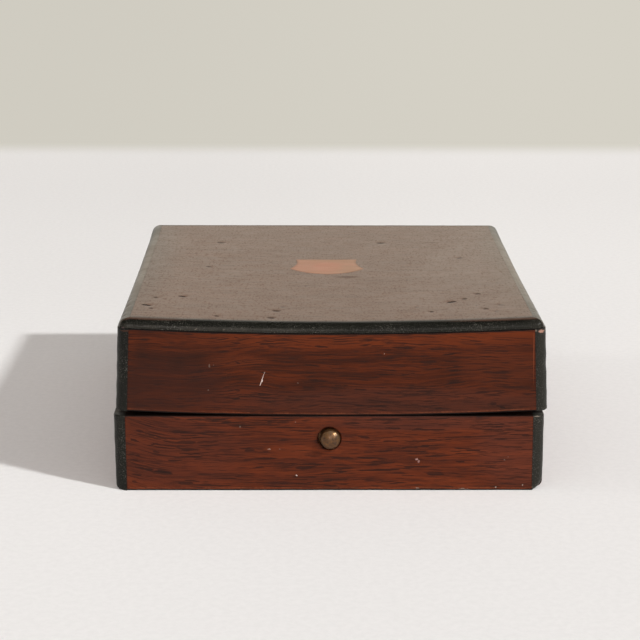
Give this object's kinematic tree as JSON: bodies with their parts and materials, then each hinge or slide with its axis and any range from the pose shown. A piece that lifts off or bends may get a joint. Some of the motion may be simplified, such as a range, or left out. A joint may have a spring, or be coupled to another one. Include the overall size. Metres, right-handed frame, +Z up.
{
  "type": "wooden box",
  "caption": "Rectangular mahogany box with rounded ebonised edgings, a hinged lid inlaid with a shield, and a push-button catch at the front.",
  "frame": {"origin": "middle of the base's plan, on its flat underside", "axes": "+Z up, +Y from the front with its button to the hinged back, +X to the right seen from the front"},
  "size_m": [0.1408, 0.1717, 0.0576],
  "materials": {
    "mahogany": "old French polish, worn satin",
    "ebonised_wood": "black stained, satin, rubbed at the corners",
    "inlay_wood": "pale fruitwood, satin",
    "brass": "aged, dull",
    "steel": "dull"
  },
  "bodies": {
    "base": {"base_front": "mahogany", "base_back": "mahogany", "base_left": "mahogany", "base_right": "mahogany", "base_floor": "mahogany", "base_edging_front_left": "ebonised_wood", "base_edging_front_right": "ebonised_wood", "base_edging_back_left": "ebonised_wood", "base_edging_back_right": "ebonised_wood", "left_hinge_base_leaf": "brass", "left_hinge_pin": "steel", "right_hinge_base_leaf": "brass", "right_hinge_pin": "steel", "hinge_base_screws": "brass", "catch_spring": "brass", "catch_spring_screws": "brass"},
    "lid": {"lid_front": "mahogany", "lid_back": "mahogany", "lid_left": "mahogany", "lid_right": "mahogany", "lid_top": "mahogany", "lid_shield_inlay": "inlay_wood", "lid_edging_front_left": "ebonised_wood", "lid_edging_front_right": "ebonised_wood", "lid_edging_back_left": "ebonised_wood", "lid_edging_back_right": "ebonised_wood", "top_edging_front": "ebonised_wood", "top_edging_back": "ebonised_wood", "top_edging_left": "ebonised_wood", "top_edging_right": "ebonised_wood", "left_hinge_lid_leaf": "brass", "right_hinge_lid_leaf": "brass", "hinge_lid_screws": "brass", "keeper_plate": "brass", "keeper_screws": "brass"},
    "button": {"push_button": "brass"}
  },
  "joints": [
    {"name": "lid_hinge", "type": "hinge", "parent": "base", "child": "lid", "pos_m": [0, 0.0844, 0.0255], "axis": [-1, 0, 0], "range_deg": [0, 150], "deforming": ["catch_spring"]},
    {"name": "button_press", "type": "slide", "parent": "base", "child": "button", "axis": [0, 1, 0], "range_m": [0, 0.0016], "stiffness_N_per_m": 400, "deforming": ["catch_spring"]}
  ]
}
